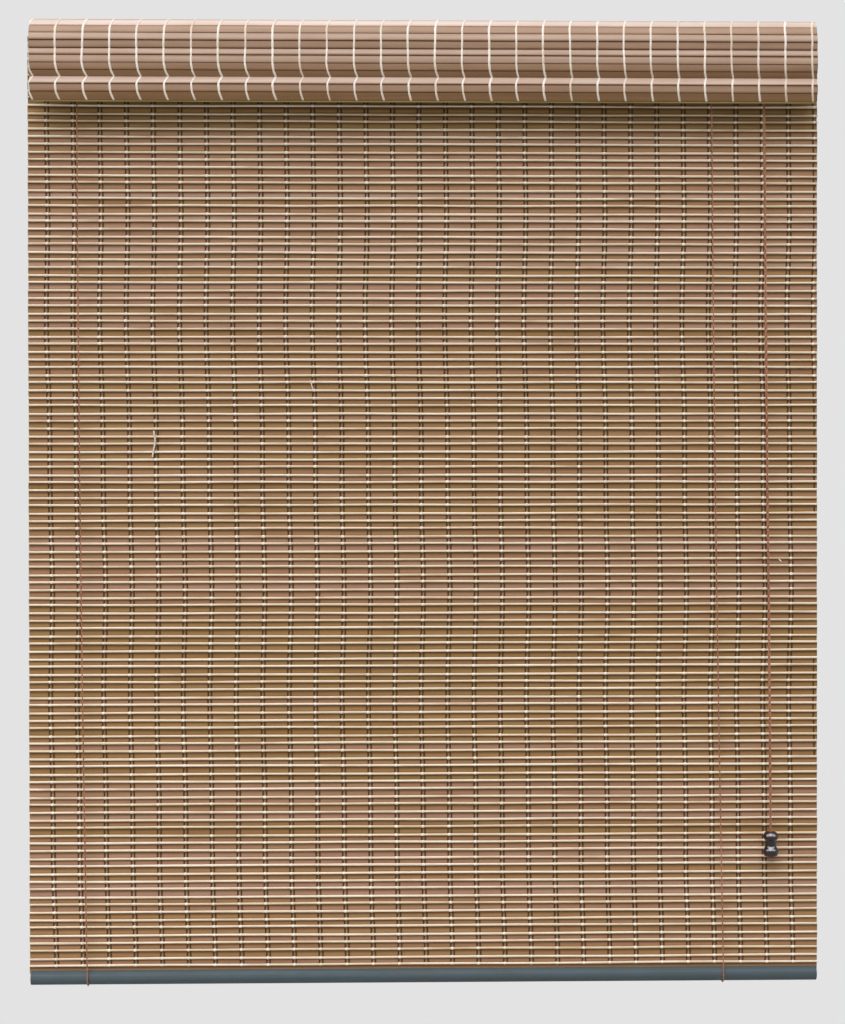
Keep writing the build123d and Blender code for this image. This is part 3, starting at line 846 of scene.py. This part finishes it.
for hand, top_x, foot_x, wheel_z in LIFT_CORDS:
    start = (top_x, CORD_PLANE_Y, wheel_z)
    lift_run(hand + "_front_cord", start, (foot_x, CORD_FRONT_Y, BAR_Z), "lift_cord_" + hand + "_front")
for hand, top_x, foot_x, wheel_z in LIFT_CORDS:
    start = (top_x, CORD_BACK_Y, TAB_TOP_Z)
    lift_run(hand + "_back_cord", start, (foot_x, CORD_BACK_Y, BAR_Z), "lift_cord_" + hand + "_back", True)

UNDER_SHARES = [(-1, 0), (-1, -0.414), (-0.414, -1), (0.414, -1), (1, -0.414), (1, 0)]
bights = Pile()
for foot_x in (LEFT_FOOT_X, RIGHT_FOOT_X):
    under = [(foot_x, BAR_Y + BIGHT_RADIUS * out, BAR_Z + BIGHT_RADIUS * up) for out, up in UNDER_SHARES]
    twist(bights, spline_points(under, BIGHT_STEP), **LIFT_TWIST, side_axis=(1, 0, 0))
turns = bights.piece("cord_turns", CORD, "cord", sharp=80)
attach(turns, "bights")
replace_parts(turns, "cord_bights")

TURN_RADIUS = 5.0
OUTER_TURN_RADIUS = 6.9
LOCK_X = 378.95


def lead_run(name, wheel_x, wheel_z, exit_radius, node):
    """A lift cord inside the valance, over its pulley and over the lock's wheel."""
    level = wheel_z + TURN_RADIUS
    route = [
        (wheel_x - TURN_RADIUS, CORD_PLANE_Y, wheel_z),
        (wheel_x - TURN_RADIUS, CORD_PLANE_Y, level),
        (wheel_x + TURN_RADIUS, CORD_PLANE_Y, level),
        (LOCK_X - exit_radius, CORD_PLANE_Y, level),
        (LOCK_X + exit_radius, CORD_PLANE_Y, level),
        (LOCK_X + exit_radius, CORD_PLANE_Y, WHEEL_Z),
    ]
    pile = Pile()
    twist(pile, spline_points(route, LIFT_STEP), **LIFT_TWIST)
    run = pile.piece(name, CORD, "cord", sharp=80)
    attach(run, "headrail")
    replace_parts(run, node)


lead_run("left_lead", LEFT_TOP_X + TURN_RADIUS, LEFT_WHEEL_Z, OUTER_TURN_RADIUS, "lead_cord_left")
lead_run("right_lead", RIGHT_TOP_X + TURN_RADIUS, WHEEL_Z, TURN_RADIUS, "lead_cord_right")

PULL_TWIST = {"strand_radius": 0.8, "offset": 0.8, "pitch": 19.0, "sides": 8}
PULL_STEP = 1.5
PULL_TOP = (384.9, CORD_PLANE_Y, WHEEL_Z)
PULL_FOOT = (392.9, CORD_PLANE_Y, -890.8)
PULL_ROUTE = [
    PULL_TOP,
    (385.06, CORD_PLANE_Y, -6.9),
    (388.2, CORD_PLANE_Y, -400.0),
    (391.6, CORD_PLANE_Y, -700.0),
    (392.75, CORD_PLANE_Y, -872.0),
    PULL_FOOT,
]
pull_line = spline_points(PULL_ROUTE, PULL_STEP)
pull = Pile()
twist(pull, pull_line, **PULL_TWIST)
pull_piece = pull.piece("pull_cord_pair", CORD, "cord", sharp=80)
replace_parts(pull_piece, "pull_cord")
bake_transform(pull_piece)


# The turned pull

TASSEL_TOP_Z = -867.7
TASSEL_STEP = 0.9
TASSEL_SIDES = 64
TASSEL_CROWN = [(4.0, -1.2), (6.6, -1.2), (8.6, -5.8), (8.4, -9.2), (6.0, -10.6)]
TASSEL_WAIST = [(5.95, -14.5), (5.95, -18.0)]
TASSEL_BULB = [(8.4, -21.2), (8.6, -25.4), (7.3, -28.8), (5.8, -28.8)]
TASSEL_BORE = [(4.0, -28.8), (4.0, -22.9), (1.9, -22.8), (1.9, -1.8), (2.5, -1.2)]
TASSEL_KNOT_DROP = 1.7
TASSEL_KNOT_RADIUS = 3.2
TASSEL_KNOT_CORD = 1.0


def turned_pull():
    """A glossy turned pull, bored through and hollow below for its knot."""
    turning = [(radius, 0.0, drop) for radius, drop in TASSEL_CROWN + TASSEL_WAIST + TASSEL_BULB]
    outer = [(point.x, point.z) for point in spline_points(turning, TASSEL_STEP)]
    rings = []
    for radius, drop in outer + TASSEL_BORE:
        ring = []
        for c, s in around(TASSEL_SIDES):
            ring.append((PULL_FOOT[0] + radius * c, CORD_PLANE_Y + radius * s, TASSEL_TOP_Z + drop))
        rings.append(ring)
    pile = Pile()
    pile.sweep(rings, closed=True)
    return pile.piece("turned_pull", TASSEL, "tassel", sharp=42)


tassel = turned_pull()
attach(tassel, "tassel")
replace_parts(tassel, "pull_tassel")
stop = Pile()
stop_centre = (PULL_FOOT[0], CORD_PLANE_Y, PULL_FOOT[2] - TASSEL_KNOT_DROP)
knot_rings(stop, stop_centre, TASSEL_KNOT_RADIUS, TASSEL_KNOT_CORD)
pull_knot = stop.piece("pull_knot", CORD, "cord", sharp=80)
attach(pull_knot, "tassel")
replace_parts(pull_knot, "tassel_knot")


# The valance

BED_WIDTH = 9.1
TOP_SLATS = 5
TOP_FRONT_Y = -66.0
SHELL_DROP = 2.1
SLAT_TILTS = [90] * TOP_SLATS + [36, 24, 11, -10, 13, 2.5, -14.5, -38, 36, -8, -32]
SLAT_SHARES = [1.0] * TOP_SLATS + [1.01, 1.06, 0.95, 0.965, 0.88, 0.95, 0.87, 0.93, 1.27, 0.91, 1.11]
# Each valance slat's tone, listed one by one: the slats that face most steeply down get the darkest olive
# tones, painted shade, and the two that face most steeply up the palest, painted highlight; the rest is
# each slat's own tone.
SLAT_TONES = [0.5, 0.62, 0.4, 0.55, 0.7, 1.0, 0.46, 0.68, 0.44, 0.68, 0.58, 0.33, 0.16, 0.78, 0.42, 0.1]
SLAT_GAPS = [0.3] * TOP_SLATS + [0.2, 0.35, 0.5, 1.0, 1.1, 1.0, 0.5, 0.5, 0.2, 1.1, 0.5, 0.2]
CROWN_EDGE = [(0.1, 0.05), (0.0, 0.75), (0.6, 1.12), (2.2, 1.27)]
CROWN_RISE = 1.3
VALANCE_STATIONS = 30
VALANCE_SEED = 2100
VALANCE_WANDER = 0.14
VALANCE_END_WEAR = 1.0
STRING_COUNT = 30
STRING_LEFT_X = -440.6
STRING_PITCH = 30.28
STRING_SIDES = 8
STRING_SEED = 3000
STRING_SWAY = 0.5
STRING_SWAY_STEP = 40.0
STRING_SWAY_RATE = 4
STRING_SLANT = 0.52
STRING_SLANT_RUN = 2600.0
STRING_WIDTH = 2.7
STRING_WIDTH_SHARES = (0.9, 1.1)
STRING_FULL_POWER = 0.35
STRING_JOINT_RISE = 0.55
STRING_FULL_RISE = 0.8
STRING_JOINT_THICKNESS = 0.28
STRING_FULL_THICKNESS = 0.14
STRING_JOINT_WIDTH_SHARE = 0.36
STRING_FULL_WIDTH_SHARE = 0.14
STRING_SHARES = (0.04, 0.16, 0.36, 0.64, 0.84, 0.96)
SWELL_END = 11
SWELL_DEPTH = 4.9
SWELL_LEAN_SHARE = 0.9
LEAN_DEPTH = 4.0
LEAN_LIMIT_Y = -58.0
EDGE_REED_RADIUS = 1.0
EDGE_REED_SEAT = 1.05
EDGE_REED_STATIONS = 60
EDGE_REED_SIDES = 10
EDGE_REED_SEED = 91
EDGE_REED_WANDER = 0.2
EDGE_REED_TONE = 0.1


class Bed:
    """One slat's place on the shell, seen from the side."""

    def __init__(self, start, tilt, share):
        turn = math.radians(tilt)
        self.start = start
        self.length = BED_WIDTH * share
        self.run = (-math.sin(turn), -math.cos(turn))
        self.out = (-math.cos(turn), math.sin(turn))

    def at(self, down, rise=0.0):
        """The point that far down the slat and that high over the shell, in (y, z)."""
        y = self.start[0] + down * self.run[0] + rise * self.out[0]
        z = self.start[1] + down * self.run[1] + rise * self.out[1]
        return y, z


def valance_beds():
    """The slats' places, one after another along the shell's outer line."""
    beds = []
    start = (TOP_FRONT_Y + TOP_SLATS * BED_WIDTH, TOP_Z - SHELL_DROP)
    for tilt, share in zip(SLAT_TILTS, SLAT_SHARES):
        bed = Bed(start, tilt, share)
        beds.append(bed)
        start = bed.at(bed.length)
    return beds


BEDS = valance_beds()
VALANCE_FRONT_Y = min(bed.start[0] for bed in BEDS)


def valance_slats():
    """Sixteen bowed slats laid over the shell, each with uneven ends and painted shade on its edges at open
    joints.
    """
    pile = Pile()
    for i, bed in enumerate(BEDS):
        left = -VALANCE_HALF + chance.uniform(0, VALANCE_END_WEAR)
        right = VALANCE_HALF - chance.uniform(0, VALANCE_END_WEAR)
        drift = waves(VALANCE_SEED + i, VALANCE_WANDER)
        first = SLAT_GAPS[i] / 2
        last = bed.length - SLAT_GAPS[i + 1] / 2
        section = [(first + down, rise) for down, rise in CROWN_EDGE]
        section += [((first + last) / 2, CROWN_RISE)]
        section += [(last - down, rise) for down, rise in CROWN_EDGE[::-1]]
        # Painted shade along the slat edges by each open joint, darker where the gap is wider.
        above = min(1.0, SLAT_GAPS[i])
        below = min(1.0, SLAT_GAPS[i + 1])
        darkening = [above, above, 0.5 * above, 0.0, 0.0, 0.0, 0.5 * below, below, below]
        rings = []
        for x in stations(left, right, VALANCE_STATIONS):
            rings.append([(x, *bed.at(down + drift(x), rise)) for down, rise in section])
        pile.sweep(rings, SLAT_TONES[i], grime=darkening)
    return pile.piece("valance_slat_mat", VALANCE_SLAT, "slat", sharp=60)


def string_lean(i, y):
    """How far a string is drawn aside where the valance lies back, over the swell and below it."""
    depth = min(y, LEAN_LIMIT_Y) - VALANCE_FRONT_Y
    if i < SWELL_END:
        depth = max(0.0, SWELL_LEAN_SHARE * (depth - SWELL_DEPTH))
    return depth - LEAN_DEPTH


def valance_strings():
    """Thirty soft strings, full over each slat and drawn in at each joint."""
    pile = Pile()
    for n in range(STRING_COUNT):
        x = STRING_LEFT_X + STRING_PITCH * n
        slant = STRING_SLANT - x / STRING_SLANT_RUN
        width = STRING_WIDTH * chance.uniform(*STRING_WIDTH_SHARES)
        sway = waves(STRING_SEED + n, STRING_SWAY)
        rings = []
        for i, bed in enumerate(BEDS):
            for share in STRING_SHARES:
                full = math.sin(math.pi * share) ** STRING_FULL_POWER
                middle = STRING_JOINT_RISE + STRING_FULL_RISE * full
                half_thick = STRING_JOINT_THICKNESS + STRING_FULL_THICKNESS * full
                half_wide = width * (STRING_JOINT_WIDTH_SHARE + STRING_FULL_WIDTH_SHARE * full)
                down = bed.length * share
                swayed = x + sway(STRING_SWAY_STEP * i + STRING_SWAY_RATE * down)
                aside = swayed + slant * string_lean(i, bed.at(down)[0])
                ring = []
                for c, s in around(STRING_SIDES, 0.5):
                    reach = min(VALANCE_HALF, max(-VALANCE_HALF, aside + half_wide * c))
                    ring.append((reach, *bed.at(down, middle + half_thick * s)))
                rings.append(ring)
        pile.sweep(rings)
    return pile.piece("valance_lashings", WHITE_THREAD, "string", sharp=80)


def edge_reed():
    """The thin reed along the valance's lower edge."""
    pile = Pile()
    y, z = BEDS[-1].at(BEDS[-1].length + EDGE_REED_SEAT)
    drift = waves(EDGE_REED_SEED, EDGE_REED_WANDER)
    rings = []
    for x in stations(-VALANCE_HALF, VALANCE_HALF, EDGE_REED_STATIONS):
        ring = []
        for c, s in around(EDGE_REED_SIDES):
            ring.append((x, y + drift(x) + EDGE_REED_RADIUS * c, z + EDGE_REED_RADIUS * s))
        rings.append(ring)
    pile.sweep(rings, EDGE_REED_TONE)
    return pile.piece("edge_reed", EDGE_REED, "reed")


for piece, node in (
    (valance_slats(), "valance_slats"),
    (valance_strings(), "valance_strings"),
    (edge_reed(), "valance_edge_reed"),
):
    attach(piece, "headrail")
    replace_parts(piece, node)


# Small fasteners and the loose thread

BRACKET_SCREWS = [(-287.0, -14.0), (-273.0, -22.0), (273.0, -14.0), (287.0, -22.0)]
TAB_SCREWS = [(LEFT_TOP_X, -35.0), (RIGHT_TOP_X, -35.0)]
FRAME_SCREWS = [(-386.7, -50.2), (330.4, -50.2), (375.5, -50.2), (391.0, -50.2)]
SCREW_SEATS = ((BRACKET_SCREWS, 19.0), (TAB_SCREWS, 19.8), (FRAME_SCREWS, 20.0))
SCREW_HEAD = ((2.6, 0.0), (2.6, 0.5), (2.2, 1.1), (1.5, 1.45))
SCREW_SIDES = 24
RECESS_ARM = 1.15
RECESS_ROOT = 0.45
RECESS_RIM_DROP = 1.5
RECESS_FLOOR_DROP = 0.7
RECESS_FLOOR_SHARE = 0.7


def screw_rings(x, y, z):
    """A pan head that hangs from (x, y, z), with a cross recess in its foot."""
    steps = around(SCREW_SIDES)
    rings = []
    for radius, drop in SCREW_HEAD:
        rings.append([(x + radius * c, y + radius * s, z - drop) for c, s in steps])
    for share, drop in ((1.0, RECESS_RIM_DROP), (RECESS_FLOOR_SHARE, RECESS_FLOOR_DROP)):
        ring = []
        for k, (c, s) in enumerate(steps):
            reach = share * (RECESS_ARM if k % 6 == 0 else RECESS_ROOT)
            ring.append((x + reach * c, y + reach * s, z - drop))
        rings.append(ring)
    return rings


def screw_heads():
    """The small screws under the headrail."""
    pile = Pile()
    for places, z in SCREW_SEATS:
        for x, y in places:
            pile.sweep(screw_rings(x, y, z))
    return pile.piece("screw_heads", ZINC, "zinc_steel", sharp=35)


THREAD_END = [
    (-307.4, -41.6, -412.5),
    (-307.2, -42.9, -415.5),
    (-305.6, -43.6, -422.7),
    (-307.2, -43.4, -432.7),
    (-309.2, -42.6, -441.7),
]
MIDDLE_TUFT = [(-129.6, -40.6, -354.8), (-128.6, -41.2, -359.6), (-127.2, -40.6, -364.4)]
RIGHT_TUFT = [(404.6, -40.0, -558.2), (406.2, -41.0, -559.8), (408.2, -41.2, -562.4)]
THREAD_END_RADIUS = 0.65
TUFT_RADIUS = 0.42
LOOSE_STEP = 0.5
LOOSE_OFFSET_SHARE = 0.8
LOOSE_PITCH = 5.0
LOOSE_ENDS = ((THREAD_END, THREAD_END_RADIUS), (MIDDLE_TUFT, TUFT_RADIUS), (RIGHT_TUFT, TUFT_RADIUS))


def loose_thread():
    """A thread end that has come out of the weave, and two small tufts."""
    pile = Pile()
    for route, radius in LOOSE_ENDS:
        twist(pile, spline_points(route, LOOSE_STEP), radius, LOOSE_OFFSET_SHARE * radius, LOOSE_PITCH)
    return pile.piece("loose_thread", WHITE_THREAD, "string", sharp=80)


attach(screw_heads(), "headrail")
lifted(loose_thread())


# Stage, light and camera, in metres

FLOOR_Z = -2.9
FLOOR_HALF = 2.0
SUNS = (
    ("key", 2.1, 46, (0.2, 0.69, -0.69)),
    ("overhead", 1.3, 46, (0.1, 0.3, -0.95)),
)


def pale_floor():
    """A pale floor, below the tassel's lowest place."""
    mesh = bpy.data.meshes.new("floor")
    corners = [(-1, -1), (1, -1), (1, 1), (-1, 1)]
    mesh.from_pydata([(x * FLOOR_HALF, y * FLOOR_HALF, FLOOR_Z) for x, y in corners], [], [(0, 1, 2, 3)])
    paint = Finish("floor", 0.9)
    speckle = paint.noise((3.0, 3.0, 3.0))
    paint.colour(paint.ramp(speckle, [(0.3, (0.6, 0.6, 0.6, 1)), (0.7, (0.62, 0.62, 0.62, 1))]))
    mesh.materials.append(paint.material)
    floor = placed("floor", mesh)


def studio_world():
    """Soft light from all round, behind a plain grey that the eye, gloss and glass see."""
    world = bpy.data.worlds.new("studio")
    world.use_nodes = True
    bpy.context.scene.world = world
    nodes = world.node_tree.nodes
    links = world.node_tree.links
    soft = nodes["Background"]
    soft.inputs["Color"].default_value = (1.0, 1.0, 0.77, 1)
    soft.inputs["Strength"].default_value = 0.36
    plain = nodes.new("ShaderNodeBackground")
    plain.inputs["Color"].default_value = linear(227, 227, 227)
    path = nodes.new("ShaderNodeLightPath")
    seen = path.outputs["Is Camera Ray"]
    for ray in ("Is Transmission Ray", "Is Glossy Ray"):
        either = nodes.new("ShaderNodeMath")
        either.operation = "MAXIMUM"
        links.new(seen, either.inputs[0])
        links.new(path.outputs[ray], either.inputs[1])
        seen = either.outputs[0]
    chosen = nodes.new("ShaderNodeMixShader")
    links.new(seen, chosen.inputs["Fac"])
    links.new(soft.outputs[0], chosen.inputs[1])
    links.new(plain.outputs[0], chosen.inputs[2])
    links.new(chosen.outputs[0], nodes["World Output"].inputs["Surface"])


def aimed(lamp, direction):
    """Turns a lamp to shine that way."""
    lamp.rotation_euler = Vector(direction).to_track_quat("-Z", "Y").to_euler()
    return lamp


def panel(name, energy, size, spot, goal):
    """An area lamp that the camera does not see."""
    light = bpy.data.lights.new(name, "AREA")
    light.shape = "RECTANGLE"
    light.energy = energy
    light.size, light.size_y = size
    lamp = aimed(placed(name, light), Vector(goal) - Vector(spot))
    lamp.location = spot
    lamp.visible_camera = False
    return lamp


def lamps():
    """Two broad suns, a weak panel at the left and one that only the tassel's gloss shows."""
    for name, energy, angle, direction in SUNS:
        light = bpy.data.lights.new(name, "SUN")
        light.energy = energy
        light.angle = math.radians(angle)
        aimed(placed(name, light), direction)
    side = panel("side_panel", 14.0, (1.2, 1.6), (-2.1, -1.5, -0.9), (0.0, 0.0, -0.6))
    side.visible_glossy = False
    shine = panel("shine_panel", 1050.0, (14.0, 2.4), (0.0, -2.0, 1.1), (0.2, -0.05, -0.8))
    shine.data.color = (0.92, 0.88, 1.0)
    shine.visible_diffuse = False
    lit = bpy.data.collections.new("shine_panel")
    lit.objects.link(tassel)
    shine.light_linking.receiver_collection = lit


def view():
    """The camera, at the photograph's place."""
    lens = bpy.data.cameras.new("camera")
    lens.lens = 72.5
    camera = placed("camera", lens)
    camera.location = (-0.0557, -2.391, -0.4885)
    camera.rotation_euler = (math.radians(89.6), math.radians(0.075), math.radians(-1.3))
    bpy.context.scene.camera = camera


bpy.context.scene.view_settings.view_transform = "Standard"
pale_floor()
studio_world()
lamps()
view()
bpy.context.view_layer.update()
